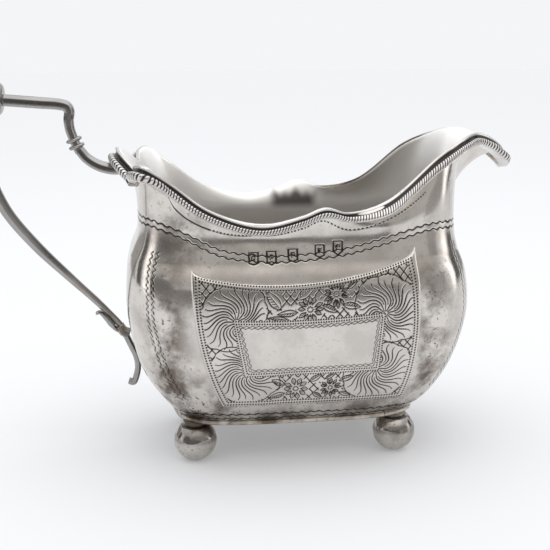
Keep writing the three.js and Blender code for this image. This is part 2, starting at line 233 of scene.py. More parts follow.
def profile(sizes, share):
    """Size and height at a share of the profile: a uniform Catmull-Rom curve."""
    points = np.array([sizes, HEIGHTS], float).T
    last = len(points) - 1
    place = np.clip(share, 0, 1) * last
    i = np.minimum(place.astype(int), last - 1)
    t = (place - i)[..., None]
    p0, p1 = points[np.maximum(i - 1, 0)], points[i]
    p2, p3 = points[i + 1], points[np.minimum(i + 2, last)]
    v0, v1 = (p2 - p0) / 2, (p3 - p1) / 2
    point = (2 * p1 - 2 * p2 + v0 + v1) * t**3 + (3 * p2 - 3 * p1 - 2 * v0 - v1) * t**2 + v0 * t + p1
    return point[..., 0], point[..., 1]


def section(angle, share):
    """A point of the belly: angle round the jug, share 0 at the foot to 1 at the neck."""
    cos, sin = np.cos(angle), np.sin(angle)
    handle, height = profile(HANDLE_SIDE, share)
    spout, _ = profile(SPOUT_SIDE, share)
    width, _ = profile(HALF_WIDTH, share)
    power = 2 / SQUARENESS
    x = np.sign(cos) * np.abs(cos) ** power * np.where(cos < 0, handle, spout)
    y = np.sign(sin) * np.abs(sin) ** power * width
    return np.stack([x, y, height + 0 * x], axis=-1)


def section_angle(points):
    """The angle at which a scaled copy of the neck passes through each point."""
    power = SQUARENESS / 2
    half = np.where(points[:, 0] < 0, HANDLE_SIDE[-1], SPOUT_SIDE[-1])
    x = np.sign(points[:, 0]) * np.abs(points[:, 0] / half) ** power
    y = np.sign(points[:, 1]) * np.abs(points[:, 1] / HALF_WIDTH[-1]) ** power
    return np.arctan2(y, x)


def flare(rim, share):
    """The wall above the neck, at shares of its height: a grid, share by rim point."""
    neck = section(section_angle(rim), np.ones(len(rim)))
    rise = rim[:, 2] - neck[:, 2]
    lipness = smoothstep(rim[:, 0], LIP_FROM_X, LIP_UNTIL_X)
    first = neck.copy()
    first[:, 2] += rise * LOWER_GUIDE_RISE
    out = lerp(SIDE_GUIDE[0], LIP_GUIDE[0], lipness)
    second = neck + (rim - neck) * out[:, None]
    second[:, 2] = neck[:, 2] + rise * lerp(SIDE_GUIDE[1], LIP_GUIDE[1], lipness)
    t = np.asarray(share)[:, None, None]
    return neck * (1 - t) ** 3 + 3 * first * t * (1 - t) ** 2 + 3 * second * t**2 * (1 - t) + rim * t**3


side_curve = through([*RIM_SIDE, *mirror_y(RIM_SIDE[-2::-1])])
side_curve = side_curve[: int(np.argmax(side_curve[:, 1] <= 1e-6)) + 1]
across = np.linspace(1, -1, 121)[:, None]
arch_curve = np.hstack([
    lerp(BACK_PEAK[0], NOTCH[0], across**2),
    -NOTCH[1] * across,
    lerp(BACK_PEAK[2], NOTCH[2], across**2),
])


def body_columns(curve):
    """Rim points close enough together both on the rim and on the belly below it."""
    belly = section(section_angle(curve), np.full(len(curve), 0.5))
    steps = np.maximum(
        np.linalg.norm(np.diff(curve, axis=0), axis=1),
        np.linalg.norm(np.diff(belly, axis=0), axis=1),
    )
    measure = np.concatenate([[0], np.cumsum(steps)])
    count = int(measure[-1] / COLUMN_PITCH)
    return at_lengths(curve, measure, np.linspace(0, measure[-1], count))


side_columns = body_columns(side_curve)
arch_columns = body_columns(arch_curve)
rim_loop = np.vstack([side_columns, mirror_y(side_columns[-2::-1]), arch_columns[1:-1]])

# ---- engraving tools


class Engraving:
    """Cuts drawn on a flat plate of x and height, to be read off at any place."""

    def __init__(self, low, high, pitch=0.08):
        self.low, self.pitch = np.array(low, float), pitch
        self.size = np.ceil((np.array(high) - low) / pitch).astype(int) + 1
        self.depth = np.zeros(self.size[::-1])

    def stamp(self, place, half_width, depth=1.0):
        """One round touch of the tool."""
        middle = (np.asarray(place) - self.low) / self.pitch
        reach = half_width / self.pitch
        lowest = np.maximum(np.floor(middle - reach).astype(int), 0)
        highest = np.minimum(np.ceil(middle + reach).astype(int) + 1, self.size)
        if (highest <= lowest).any():
            return
        x = np.arange(lowest[0], highest[0]) - middle[0]
        z = np.arange(lowest[1], highest[1]) - middle[1]
        touch = depth * (1 - (x[None, :] ** 2 + z[:, None] ** 2) / reach**2)
        window = self.depth[lowest[1] : highest[1], lowest[0] : highest[0]]
        np.maximum(window, touch, out=window)

    def stroke(self, points, half_width=0.15, depth=1.0, ends=0.5):
        """A cut along points, widest in its middle; ends is the share of the width at its ends."""
        curve = through(np.asarray(points, float), 8) if len(points) > 2 else np.asarray(points, float)
        measure = lengths(curve)
        count = max(int(measure[-1] / 0.1), 2)
        places = at_lengths(curve, measure, np.linspace(0, measure[-1], count))
        swell = ends + (1 - ends) * np.sin(np.pi * np.linspace(0, 1, count))
        for place, share in zip(places, swell):
            self.stamp(place, half_width * share, depth)

    def dots(self, curve, pitch, half_width):
        measure = lengths(curve)
        for place in at_lengths(curve, measure, np.arange(0, measure[-1], pitch)):
            self.stamp(place, half_width)

    def clear(self, inside):
        """Smooths out everything where inside(x, z) is true."""
        x = self.low[0] + self.pitch * np.arange(self.size[0])
        z = self.low[1] + self.pitch * np.arange(self.size[1])
        self.depth[inside(x[None, :], z[:, None])] = 0

    def read(self, x, z):
        column = np.clip((x - self.low[0]) / self.pitch, 0, self.size[0] - 1.001)
        row = np.clip((z - self.low[1]) / self.pitch, 0, self.size[1] - 1.001)
        i, j = column.astype(int), row.astype(int)
        a, b = column - i, row - j
        d = self.depth
        low = d[j, i] * (1 - a) + d[j, i + 1] * a
        return low * (1 - b) + (d[j + 1, i] * (1 - a) + d[j + 1, i + 1] * a) * b


# ---- engraved lines on the body

CUT_DEPTH = 0.12
CUT_HALF_WIDTH = 0.24
# Height of the upper of two wavy lines round the neck, against x along each side.
NECK_LINE = [
    (-46, 75.2), (-41, 74.5), (-33.4, 71.9), (-22.3, 66.7), (-13, 65.1), (-5, 64.7),
    (12.5, 66.2), (29.5, 70.2), (37, 71.9), (46, 71.9),
]
NECK_LINE_SPACING = 1.7
WAVE_LENGTH = 2.6
WAVE_HEIGHT = 0.22
# Distance of a dotted line below the rim, against x.
DOT_LINE_DROP = [(-38, 7.6), (-32, 7.0), (-24, 5.4), (-13, 4.0), (0, 3.9), (11, 4.5), (19, 4.8), (36, 4.8)]
PLAIN_LINE_UNTIL_X = -25
CORNER_LINES = (-39.2, 45.2)  # where the zigzags leave the neck
CORNER_DRIFT = 2.6  # how far they lean towards the panels at the foot
CORNER_SPAN = (22, 66)  # heights between which they run, and faintly again above the neck at the lip
CORNER_UPPER_SPAN = (73.5, 84)
FOOT_LINE_HEIGHTS = (14.6, 16.4)
NECK_SOFTENING = 500  # rounds of smoothing where the neck turns out of the belly
NECK_SOFT_FROM = 63  # height at which they begin
NECK_SOFT_ROWS = SHOULDER_ROWS + 18
PUNCHES = [(-13.4, 64.2), (-8.4, 64.4), (-2.4, 64.9), (5.2, 65.8), (10.3, 66.7)]  # near side
PUNCH_SIZE = (1.25, 1.65)  # half width and half height
DOT_PITCH = 1.05


def line_cut(distance, half_width=CUT_HALF_WIDTH):
    """Depth share of a cut at a distance from its middle."""
    return np.clip(1 - (distance / half_width) ** 2, 0, 1)


def triangle_wave(value, length):
    return 2 * np.abs(2 * (value / length - np.floor(value / length + 0.5))) - 1


def punch_plate():
    """Five small stamped shields with plain devices in them."""
    plate = Engraving((-18, 60), (16, 71))
    half_x, half_z = PUNCH_SIZE
    for k, centre in enumerate(PUNCHES):
        centre = np.array(centre)
        plate.clear(lambda x, z: (np.abs(x - centre[0]) < half_x) & (np.abs(z - centre[1]) < half_z))
        point = -1.25 if k in (1, 4) else -1.0
        shield = [(-1, 1), (1, 1), (1, -0.75), (0, point), (-1, -0.75), (-1, 1)]
        for ends in zip(shield, shield[1:]):
            plate.stroke(centre + np.array(ends) * PUNCH_SIZE, 0.25, 1.0, 0.9)
        turn = np.linspace(0, 2 * math.pi, 9 + k)
        ring = np.stack([0.5 * np.cos(turn), 0.75 * np.sin(turn)], axis=1)
        plate.stroke(centre + ring[: 6 + k], 0.22, 0.9)
        plate.stamp(centre + (0.2 - 0.1 * k, 0.1 * k - 0.2), 0.35, 0.9)
    return plate


def body_engraving(grid, below_rim, rim_along, flare_from):
    """Depth share of every engraved line on the outer wall."""
    x, y, z = np.moveaxis(grid, -1, 0)
    round_jug = np.cumsum(np.linalg.norm(np.diff(grid, axis=1, prepend=grid[:, :1]), axis=-1), axis=1)
    along = round_jug[flare_from]
    neck_line = through(NECK_LINE)
    line_z = np.interp(x, neck_line[:, 0], neck_line[:, 1])
    wave = WAVE_HEIGHT * np.sin(2 * np.pi * along / WAVE_LENGTH)
    cut = np.zeros(x.shape)
    for drop in (0, NECK_LINE_SPACING):
        cut = np.maximum(cut, line_cut(z - line_z + drop - wave))
    # A row of dots under the border, which runs out into a plain line near the handle.
    dots = np.clip(0.25 + 1.1 * np.cos(2 * np.pi * rim_along / DOT_PITCH), 0, 1)
    dot_x, drop = np.transpose(DOT_LINE_DROP)
    under = line_cut(below_rim - np.interp(x, dot_x, drop), 0.26)
    under *= np.where(x < PLAIN_LINE_UNTIL_X, 0.8, dots)
    cut = np.maximum(cut, under * (x > dot_x[0]) * (x < dot_x[-1]) * (z > 66))
    cut = np.where(y < 0, np.maximum(cut, punch_plate().read(x, z) * (np.abs(x) < 20) * (z < 70)), cut)
    # Zigzags down the four corners and two wavy lines round the foot.
    for corner_x in CORNER_LINES:
        column_x = grid[flare_from, :, 0]
        for side in (-1, 1):
            near = np.where(np.sign(grid[flare_from, :, 1]) == side, np.abs(column_x - corner_x), 1e3)
            column = int(np.argmin(near))
            drift = CORNER_DRIFT * (1 - smoothstep(z, 22, 52)) * side * -np.sign(corner_x)
            beside = round_jug - round_jug[:, column : column + 1] - drift
            for offset in (-0.9, 0.9):
                zigzag = line_cut(beside - offset - 0.45 * triangle_wave(z, 1.7), 0.22)
                on_belly = (z > CORNER_SPAN[0]) & (z < CORNER_SPAN[1])
                above_neck = (z > CORNER_UPPER_SPAN[0]) & (z < CORNER_UPPER_SPAN[1]) & (corner_x > 0)
                cut = np.maximum(cut, zigzag * (0.8 * on_belly + 0.25 * above_neck))
    for height in FOOT_LINE_HEIGHTS:
        cut = np.maximum(cut, line_cut(z - height - 0.22 * np.sin(2 * np.pi * along / 3.1), 0.24))
    return cut


BASE_PAINTED_SHADE = 0.13  # painted shade near the foot, even all round
FOOT_TARNISH = (0.75, 13.5, 27)  # strength, and the heights between which it fades
BESIDE_PANEL = (0.7, 38, 5.5)  # strength, distance from the middle and reach
# Patches near the handle: strength, x, height, and reach each way.
TARNISH_PATCHES = [(0.8, -31, 21, 7, 8), (0.5, -33, 70, 9, 9)]
INSIDE_SHADE = 0.42
PAINTED_LIGHT_TARNISH = -1  # tarnish below zero is painted light: the metal is painted lighter and made rougher


def body_tarnish(grid):
    """Where brown tarnish gathers: round the foot, beside the panels and in two patches."""
    x, _, z = np.moveaxis(grid, -1, 0)
    strength, *heights = FOOT_TARNISH
    tarnish = strength * (1 - smoothstep(z, *heights))
    strength, middle, reach = BESIDE_PANEL
    tarnish += strength * np.exp(-(((np.abs(x) - middle) / reach) ** 2)) * (1 - smoothstep(z, 52, 68))
    for strength, middle_x, middle_z, reach_x, reach_z in TARNISH_PATCHES:
        tarnish += strength * np.exp(-(((x - middle_x) / reach_x) ** 2) - ((z - middle_z) / reach_z) ** 2)
    return np.clip(tarnish, 0, 1)


def inside_shade(inner):
    """A painted dark reflection: a darker patch under the crest of each side of the rim, with an uneven upper
    edge.
    """
    x, _, z = np.moveaxis(inner, -1, 0)
    ragged = 0.6 * np.sin(0.8 * x) + 0.4 * np.sin(1.7 * x + 1)
    patch = smoothstep(x, -4, 0) * (1 - smoothstep(x, 10, 14)) * smoothstep(z, 68, 71)
    return patch * (1 - smoothstep(z + ragged, 72.2, 75.6)) * INSIDE_SHADE


def build_body(material):
    angles = section_angle(rim_loop)
    coarse = np.linspace(0, SHOULDER_SHARE, BELLY_ROWS)[:-1]
    shares = np.concatenate([coarse, np.linspace(SHOULDER_SHARE, 1, SHOULDER_ROWS)])
    belly = section(angles[None, :], shares[:, None])
    upper = flare(rim_loop, np.linspace(0, 1, FLARE_ROWS + 1)[1:])
    outer = np.concatenate([belly, upper])
    low = int(np.argmax(outer[:, :, 2].min(axis=1) > NECK_SOFT_FROM))
    high = min(low + NECK_SOFT_ROWS, len(outer) - 2)
    for _ in range(NECK_SOFTENING):
        outer[low:high] = (outer[low - 1 : high - 1] + 2 * outer[low:high] + outer[low + 1 : high + 1]) / 4
    normal = grid_normals(outer, closed_columns=True)
    outer = outer + normal * dents(outer)[..., None]
    normal = grid_normals(outer, closed_columns=True)
    steps = np.linalg.norm(np.diff(outer, axis=0), axis=-1)
    below_rim = np.concatenate([np.cumsum(steps[::-1], axis=0)[::-1], np.zeros((1, outer.shape[1]))])
    cut = body_engraving(outer, below_rim, lengths(rim_loop), len(belly))
    sign = 1 if (normal[0, :, :2] * outer[0, :, :2]).sum() > 0 else -1
    inner = outer - sign * normal * WALL
    inner[0, :, 2] = outer[0, :, 2]
    inner = inner[::INNER_SKIP][::-1]
    engraved = outer - sign * normal * (cut * CUT_DEPTH)[..., None]
    points = np.concatenate([engraved, inner])
    # Black in the engraved cuts, and painted shade low on the belly near the foot.
    cuts_and_foot_shade = np.maximum(cut, BASE_PAINTED_SHADE * (1 - smoothstep(outer[..., 2], 14, 24)))
    marks = np.concatenate([cuts_and_foot_shade, inside_shade(inner)])
    # Inside: more tarnish low down, and painted light higher up that lightens the inner wall.
    inside = lerp(0.6, PAINTED_LIGHT_TARNISH, smoothstep(inner[..., 2], 30, 66))
    tarnish = np.concatenate([body_tarnish(outer), inside])
    quads = grid_quads(len(points), points.shape[1], closed_columns=True, closed_rows=True)
    make_piece("jug_body", points, [quads], material, ["body_wall"], marks, tarnish)


# ---- rim border

GADROON_PITCH = 0.95
GADROON_HEIGHT = 0.5
GADROON_SLANT = 0.9  # in pitches, from the top to the bottom of a gadroon
LIP_EDGE = 0.15  # nearer the rim than this the section keeps its size
# Size of the border against x along each side, and at the back.
BORDER_SCALE = [
    (-46, 1.15), (-36, 1.1), (-22, 0.8), (-8, 0.68), (10, 0.68), (34, 0.88), (56, 1.0), (66, 1.4),
]
BACK_SCALE = 1.35
BORDER_STEP = 0.11
BORDER_HEIGHT = 3.5
BORDER_LEAN_LIMIT = 0.6
MITRE_REACH = 1.2  # the borders turn into their mitre over this length
FOLD_REACH = 1.4  # length of the painted shade where two borders meet
MARK_LIMIT = 0.8
# Outwards from the wall and up from the rim: lip bead, groove, gadroons, lower fillet, back.
BORDER_SECTION = [
    (-0.7, -0.2), (-0.72, 0.1), (-0.5, 0.26), (-0.15, 0.28), (0.1, 0.12), (0.15, -0.15),
    (0.2, -0.65), (0.4, -1.15), (0.8, -1.28), (1.05, -1.12), (1.45, -1.1), (1.85, -1.3),
    (2.1, -1.7), (2.2, -2.2), (2.15, -2.65), (1.95, -2.95), (1.8, -3.05), (1.88, -3.15),
    (1.8, -3.3), (1.5, -3.42), (0.7, -3.5), (-0.1, -3.55), (-0.4, -2.0),
]
GADROON_ROWS = (9, 15)  # where the gadroons begin and end along the section
GROOVE_ROW = 6.9
ROWS_PER_SPAN = 3


def level_outward(curve, sign):
    """Unit vectors square to a curve, level and pointing out of the jug."""
    along = np.gradient(curve, axis=0)
    out = np.stack([along[:, 1], -along[:, 0], 0 * along[:, 0]], axis=1) * sign
    return out / np.linalg.norm(out, axis=1, keepdims=True)


def wall_lean(rim, out):
    """How far the wall stands out beyond the rim at the height of the border's lower edge."""
    shares = np.linspace(0, 1, 81)
    wall = flare(rim, shares)
    low_enough = wall[:, :, 2] <= rim[:, 2] - BORDER_HEIGHT
    last = len(shares) - 1 - np.argmax(low_enough[::-1], axis=0)
    at_foot = wall[last, np.arange(len(rim))]
    lean = np.einsum("ij,ij->i", at_foot - rim, out)
    return np.maximum(lean, -BORDER_LEAN_LIMIT)


def border_grid(curve, out, scale):
    """A gadrooned border along the curve: a grid, section row by place along the curve, and its marks of
    painted shade.
    """
    rows = through(BORDER_SECTION, ROWS_PER_SPAN)
    row_of = np.arange(len(rows)) / ROWS_PER_SPAN
    lean = wall_lean(curve, out)
    along = lengths(curve)
    turn = (row_of - GADROON_ROWS[0]) / (GADROON_ROWS[1] - GADROON_ROWS[0])
    grown = np.cumsum(np.diff(along, prepend=0) / np.maximum(scale, 0.9))
    phase = grown / GADROON_PITCH + GADROON_SLANT * turn[:, None]
    place = np.abs(2 * (phase - np.floor(phase)) - 1)
    band = smoothstep(turn, -0.06, 0.1) * (1 - smoothstep(turn, 0.9, 1.04))
    groove = (1 - np.sqrt(np.clip(1 - place**3, 0, 1))) * band[:, None] * GADROON_HEIGHT * scale
    section_tangent = np.gradient(rows, axis=0)
    square = np.stack([section_tangent[:, 1], -section_tangent[:, 0]], axis=1)
    square = -square / np.linalg.norm(square, axis=1, keepdims=True)
    out_rows, up_rows = rows[:, 0:1], rows[:, 1:2]
    outwards = np.where(out_rows > LIP_EDGE, LIP_EDGE + (out_rows - LIP_EDGE) * scale, out_rows)
    upwards = np.where(up_rows < -LIP_EDGE, -LIP_EDGE + (up_rows + LIP_EDGE) * scale, up_rows)
    outwards = outwards - lean[None, :] * upwards / BORDER_HEIGHT - groove * square[:, 0:1]
    upwards = upwards - groove * square[:, 1:2]
    points = curve[None] + outwards[..., None] * out[None] + upwards[..., None] * Z_AXIS
    # Painted shade in the grooves between gadroons, in the groove under the lip bead and where two borders
    # meet.
    hollow_shade = np.exp(-(((row_of - GROOVE_ROW) / 1.7) ** 4))[:, None]
    marks = np.minimum(smoothstep(place, 0.5, 0.9) * band[:, None] + hollow_shade, 1)
    fold_shade = np.exp(-((along / FOLD_REACH) ** 2)) * (smoothstep(turn, 0.45, 0.6) * (turn < 1.1))[:, None]
    return points, MARK_LIMIT * np.maximum(marks, fold_shade)


def capped(grid):
    """Faces of a closed tube: section rows by places, with a fan at each end."""
    rows, columns = grid.shape[:2]
    quads = grid_quads(rows, columns, closed_rows=True)
    caps = []
    for column in (0, columns - 1):
        ring = np.arange(rows) * columns + column
        middle = rows * columns + len(caps)
        caps.append(np.stack([ring, np.roll(ring, -1), np.full(rows, middle)], axis=1))
    centres = np.stack([grid[:, 0].mean(axis=0), grid[:, -1].mean(axis=0)])
    points = np.vstack([grid.reshape(-1, 3), centres])
    return points, [quads, *caps]


def build_borders(material):
    curve = spaced(side_curve, int(lengths(side_curve)[-1] / BORDER_STEP))
    out = level_outward(curve, -1)
    out[-1] = (1, 0, 0)
    arch = spaced(arch_curve[::-1], int(lengths(arch_curve)[-1] / BORDER_STEP))
    arch_out = level_outward(arch, 1)
    mitre = out[0] + arch_out[0]
    mitre = mitre / (mitre @ out[0])
    blend = np.exp(-lengths(curve) / MITRE_REACH)[:, None]
    side_out = out * (1 - blend) + mitre * blend
    scale = np.interp(curve[:, 0], *np.transpose(BORDER_SCALE))
    grid, marks = border_grid(curve, side_out, scale)
    for side, name in ((1, "left"), (-1, "right")):
        points, faces = capped(grid * (1, side, 1))
        make_piece(f"gadroon_border_{name}", points, faces, material,
                   [f"rim_border_{name}"], marks)
    measure = lengths(arch)
    first = np.exp(-measure / MITRE_REACH)[:, None]
    last = np.exp((measure - measure[-1]) / MITRE_REACH)[:, None]
    back_out = arch_out * (1 - first - last) + mitre * first + mirror_y(mitre) * last
    grid, marks = border_grid(arch, back_out, np.full(len(arch), BACK_SCALE))
    points, faces = capped(grid)
    make_piece("gadroon_border_back", points, faces, material, ["rim_border_back"], marks)


# ---- side panels

# Corners in the order top left, top right, low right, low left, as x and height.
PANEL_CORNERS = ((-30.9, 60.4), (32.8, 63.8), (30.6, 20.0), (-22.9, 19.8))
PANEL_TOP_DIP = 4.6
HORNS = (1.7, 2.4)  # the upper corners run up into points
HORN_SPREAD = 0.022
DOT_CORNERS = ((-29.5, 59.5), (31.2, 62.8), (29.7, 21.2), (-22.1, 21.0))
DOT_TOP_DIP = 4.4
PANEL_SIDE_BOW = 2.3
PANEL_RELIEF = 0.7
PANEL_ROLL = 1.5  # width of the rounded edge
PANEL_SIZE = (60.0, 41.0)
PANEL_SINK = 0.15  # its edge lies this far inside the body
PANEL_BACK = 0.35  # and its back this far
PANEL_GRID = (400, 250)


def side_y(x, z):
    """Distance of the belly from the middle plane at x and height z."""
    shares = np.linspace(0, 1, 500)
    handle, heights = profile(HANDLE_SIDE, shares)
    spout, _ = profile(SPOUT_SIDE, shares)
    width, _ = profile(HALF_WIDTH, shares)
    half = np.where(x < 0, np.interp(z, heights, handle), np.interp(z, heights, spout))
    inside = np.clip(1 - np.abs(x / half) ** SQUARENESS, 0, 1)
    return np.interp(z, heights, width) * inside ** (1 / SQUARENESS)


def panel_outline(u, v):
    """Maps the unit square to x and height on the panel. v is 0 at the bottom."""
    tl, tr, lr, ll = np.array(PANEL_CORNERS)
    u, v = u[..., None], v[..., None]
    flat = (1 - v) * lerp(ll, lr, u) + v * lerp(tl, tr, u)
    bow = 4 * v * (1 - v) * PANEL_SIDE_BOW * np.array((1.0, 0.0)) * (2 * u - 1)
    horns = HORNS[0] * np.exp(-u / HORN_SPREAD) + HORNS[1] * np.exp((u - 1) / HORN_SPREAD)
    rise = (horns * v**3 - 4 * u * (1 - u) * PANEL_TOP_DIP * v) * np.array((0.0, 1.0))
    return flat + bow + rise


def build_panels(material):
    columns, rows = PANEL_GRID
    u, v = np.meshgrid(np.linspace(0, 1, columns), np.linspace(0, 1, rows))
    x, z = np.moveaxis(panel_outline(u, v), -1, 0)
    width, height = PANEL_SIZE
    edge = np.minimum(np.minimum(u, 1 - u) * width, np.minimum(v, 1 - v) * height)
    rise = np.sqrt(np.clip(1 - (1 - np.clip(edge / PANEL_ROLL, 0, 1)) ** 2, 0, 1))
    cut = panel_plate().read(x, z)
    base = np.stack([x, -side_y(x, z), z], axis=-1)
    normal = grid_normals(base)
    if normal[..., 1].mean() > 0:
        normal = -normal
    relief = lerp(-PANEL_SINK, PANEL_RELIEF, rise) - CUT_DEPTH * cut - dents(base)
    face = base + normal * relief[..., None]
    back = base - normal * PANEL_BACK
    count = rows * columns
    ring = np.concatenate([
        np.arange(columns), np.arange(1, rows) * columns + columns - 1,
        (rows - 1) * columns + np.arange(columns - 2, -1, -1), np.arange(rows - 2, 0, -1) * columns,
    ])
    rim = np.stack([ring, np.roll(ring, -1), np.roll(ring, -1) + count, ring + count], axis=1)
    quads = grid_quads(rows, columns)
    points = np.vstack([face.reshape(-1, 3), back.reshape(-1, 3)])
    faces = [quads, quads[:, ::-1] + count, rim]
    for name, side in (("right", points), ("left", mirror_y(points))):
        make_piece(f"engraved_panel_{name}", side, faces, material, ["body_wall"], cut)


# ---- the panels' engraving

CARTOUCHE = ((-17.2, 45.2), (20.9, 46.0), (19.7, 33.4), (-14.2, 33.0))
FAN_RADIUS = 10.4
FANS = [(-18.6, 47.4), (23.2, 48.2), (21.0, 31.6), (-15.8, 32.4)]
FAN_RAYS = 28
LATTICE_PITCH = 1.75
LATTICE_SLOPE = 0.86
# Flowers as middle, radius and number of petals.
FLOWERS = [((1.9, 50.2), 3.7, 12), ((9.3, 54.2), 3.7, 14), ((-1.8, 26.0), 3.6, 10), ((8.2, 26.0), 3.1, 13)]
# Leaves as base, tip and width.
LEAVES = [
    ((-6.2, 50.2), (-10.3, 55.5), 2.6), ((-2.0, 52.8), (3.4, 56.6), 2.2), ((-1.5, 49.5), (-7.4, 49.0), 1.7),
    ((5.3, 51.3), (9.6, 49.2), 1.7), ((11.0, 51.2), (16.2, 50.4), 1.8), ((-4.0, 47.4), (-9.8, 48.2), 1.2),
    ((12.3, 55.4), (15.4, 57.6), 1.2), ((-5.0, 27.4), (-8.8, 29.5), 1.8), ((-4.8, 24.6), (-9.4, 23.3), 1.7),
    ((2.0, 28.3), (5.6, 30.6), 1.5), ((3.0, 24.6), (6.0, 22.6), 1.3), ((10.6, 28.2), (14.8, 29.6), 1.6),
    ((10.8, 24.2), (14.4, 23.0), 1.4), ((6.4, 29.0), (9.6, 30.8), 1.1),
]


def directions(turn):
    """Unit vectors of x and height for an angle or a row of them."""
    return np.stack([np.cos(turn), np.sin(turn)], axis=-1)


def four_sided(corners, grow, dip=0.0, bow=0.0, count=60):
    """A closed outline through four corners, grown outwards; the top dips and the ends bow."""
    tl, tr, lr, ll = corners + grow * np.array(((-1, 1), (1, 1), (1, -1), (-1, -1)))
    t = np.linspace(0, 1, count)[:, None]
    swell = 4 * t * (1 - t)
    top = lerp(tl, tr, t) + swell * (0, -dip)
    right = lerp(tr, lr, t) + swell * (bow, 0)
    bottom = lerp(lr, ll, t)
    left = lerp(ll, tl, t) + swell * (-bow, 0)
    return np.vstack([top, right[1:], bottom[1:], left[1:]])


def wavy(curve, height, length, step=0.12):
    """The curve with a fine sideways wave."""
    measure = lengths(curve)
    fine = at_lengths(curve, measure, np.arange(0, measure[-1], step))
    along = np.gradient(fine, axis=0)
    side = np.stack([-along[:, 1], along[:, 0]], axis=1)
    side = side / np.maximum(np.linalg.norm(side, axis=1, keepdims=True), 1e-9)
    wave = height * np.sin(2 * np.pi * np.arange(len(fine)) * step / length)
    return fine + side * wave[:, None]


def fan_reach(centre, turn):
    """Radius of a fan in a direction: it is cut short towards the middle of the panel."""
    x, z = centre
    inward = math.atan2(-1 if z > 40 else 1.6, -1 if x > 0 else 1)
    return FAN_RADIUS * (1 - 0.34 * np.maximum(np.cos(turn - inward), 0))


def draw_fan(plate, centre, phase):
    """A shell of curved rays inside a scalloped edge."""
    centre = np.array(centre)
    for ray in range(FAN_RAYS):
        start = phase + 2 * math.pi * ray / FAN_RAYS + rng.normal(0, 0.012)
        reach = (0.94 if ray % 2 else 0.88) * rng.uniform(0.98, 1.02)
        share = np.linspace(0.07 if ray % 2 else 0.26, reach, 8)
        turn = start + 0.5 * share**2 - 0.22 * np.sin(2 * math.pi * share)
        radius = share * fan_reach(centre, turn)
        plate.stroke(centre + radius[:, None] * directions(turn), 0.2 if ray % 2 else 0.17, 1.0, 0.6)
    turn = np.linspace(0, 2 * math.pi, 240)
    lobes = fan_reach(centre, turn) * (0.98 + 0.06 * np.abs(np.sin(4.5 * turn + phase)))
    plate.stroke(centre + lobes[:, None] * directions(turn), 0.15, 0.9, 1.0)


def draw_lattice(plate, low, high):
    """Two sets of parallel cuts that cross."""
    centre = (np.array(low) + high) / 2
    reach = np.hypot(*(np.array(high) - low)) / 2
    for slope in (LATTICE_SLOPE, -LATTICE_SLOPE):
        along = directions(slope)
        aside = np.array((-along[1], along[0]))
        for k in np.arange(-reach, reach, LATTICE_PITCH):
            middle = centre + aside * (k + rng.normal(0, 0.05))
            plate.stroke([middle - along * reach, middle + along * reach], 0.17, 1.0, 1.0)


def draw_flower(plate, centre, radius, petals):
    """A daisy: a hatched eye, and round each petal a cut outline with a vein."""
    centre = np.array(centre)
    for k in range(petals):
        turn = 2 * math.pi * k / petals + rng.normal(0, 0.06)
        out = directions(turn)
        aside = np.array((-out[1], out[0])) * radius * 1.6 / petals
        reach = radius * rng.uniform(0.92, 1.08)
        for side in (-1, 1):
            bend = centre + out * reach * 0.72 + side * aside
            plate.stroke([centre + out * radius * 0.36, bend, centre + out * reach], 0.17)
        plate.stroke([centre + out * radius * 0.45, centre + out * reach * 0.85], 0.12, 0.8)
    for turn in np.arange(0, 2 * math.pi, 0.7):
        plate.stamp(centre + radius * 0.2 * directions(turn), 0.24)


def draw_leaf(plate, base, tip, width):
    """A leaf outline with a middle vein and slanting cuts on one half."""
    base, tip = np.array(base, float), np.array(tip, float)
    along = tip - base
    aside = np.array((-along[1], along[0])) / np.linalg.norm(along) * width / 2
    for bulge in (-aside, aside):
        plate.stroke([base, base + along * 0.35 + bulge, base + along * 0.75 + bulge * 0.7, tip], 0.17)
    plate.stroke([base, tip], 0.12, 0.9)
    for share in np.arange(0.2, 0.85, 0.13):
        start = base + along * share
        plate.stroke([start, start + along * 0.12 + aside * 0.75], 0.13, 0.9)


def panel_plate():
    """The engraving of one side panel."""
    low, high = (-36, 17), (38, 67)
    plate = Engraving(low, high)
    draw_lattice(plate, low, high)
    for cx, cz in FANS:
        plate.clear(lambda x, z: np.hypot(x - cx, z - cz) < fan_reach((cx, cz), np.arctan2(z - cz, x - cx)))
    for (cx, cz), radius, _ in FLOWERS:
        plate.clear(lambda x, z: np.hypot(x - cx, z - cz) < radius * 1.08)
    for base, tip, _ in LEAVES:
        cx, cz = (np.array(base) + tip) / 2
        plate.clear(lambda x, z: np.hypot(x - cx, z - cz) < math.dist(base, tip) * 0.4)
    for k, centre in enumerate(FANS):
        draw_fan(plate, centre, 0.4 + 1.1 * k)
    for flower in FLOWERS:
        draw_flower(plate, *flower)
    for leaf in LEAVES:
        draw_leaf(plate, *leaf)
    quiet = four_sided(CARTOUCHE, 2.6, 0.8)
    plate.clear(lambda x, z: inside_outline(x, z, quiet))
    for grow in (0.3, 0.85):
        plate.stroke(wavy(four_sided(CARTOUCHE, grow, 0.8), 0.18, 1.7), 0.12, 0.7, 1.0)
    for grow in (1.55, 2.35):
        plate.dots(four_sided(CARTOUCHE, grow, 0.8), 0.72, 0.27)
    border = four_sided(DOT_CORNERS, -1.3, DOT_TOP_DIP, PANEL_SIDE_BOW)
    plate.clear(lambda x, z: ~inside_outline(x, z, border))
    for grow in (0, -0.95):
        plate.dots(four_sided(DOT_CORNERS, grow, DOT_TOP_DIP, PANEL_SIDE_BOW), 0.8, 0.31)
    return plate


